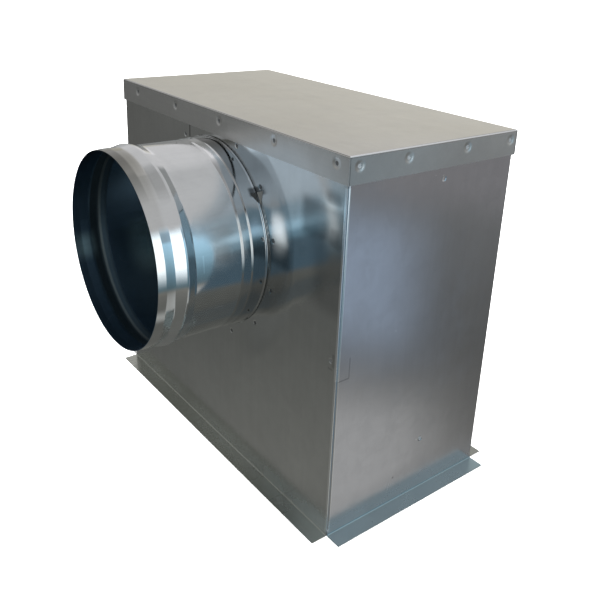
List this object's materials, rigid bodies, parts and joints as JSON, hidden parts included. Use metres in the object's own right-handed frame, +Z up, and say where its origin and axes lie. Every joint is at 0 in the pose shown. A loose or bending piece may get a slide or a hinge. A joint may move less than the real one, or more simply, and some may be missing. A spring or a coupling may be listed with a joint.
{
  "type": "duct plenum box",
  "caption": "Sheet-steel plenum box with a round side spigot, a folded lid and an open neck with four outward flanges.",
  "frame": {"origin": "centre of the open neck in the plane of the flange's underside", "axes": "+Z up towards the lid, +X along the long walls, the spigot points along -Y"},
  "size_m": [0.452, 0.3435, 0.38],
  "materials": {
    "galvanised_wall": "bright galvanised sheet, semi-gloss",
    "galvanised_lid": "bright galvanised sheet, semi-gloss",
    "galvanised_tube": "bright galvanised sheet, glossy, rolled round the tube",
    "galvanised_lug": "galvanised strip, satin",
    "spot_weld": "heat-darkened resistance weld, matt"
  },
  "bodies": {
    "root": {"front_panel": "galvanised_wall", "back_panel": "galvanised_wall", "left_end_panel": "galvanised_wall", "right_end_panel": "galvanised_wall", "lid_cap": "galvanised_lid", "spigot": "galvanised_tube", "left_fixing_lug": "galvanised_lug", "right_fixing_lug": "galvanised_lug", "lid_spot_welds": "spot_weld", "corner_spot_welds": "spot_weld", "collar_spot_welds": "spot_weld", "lug_spot_welds": "spot_weld"}
  },
  "joints": []
}
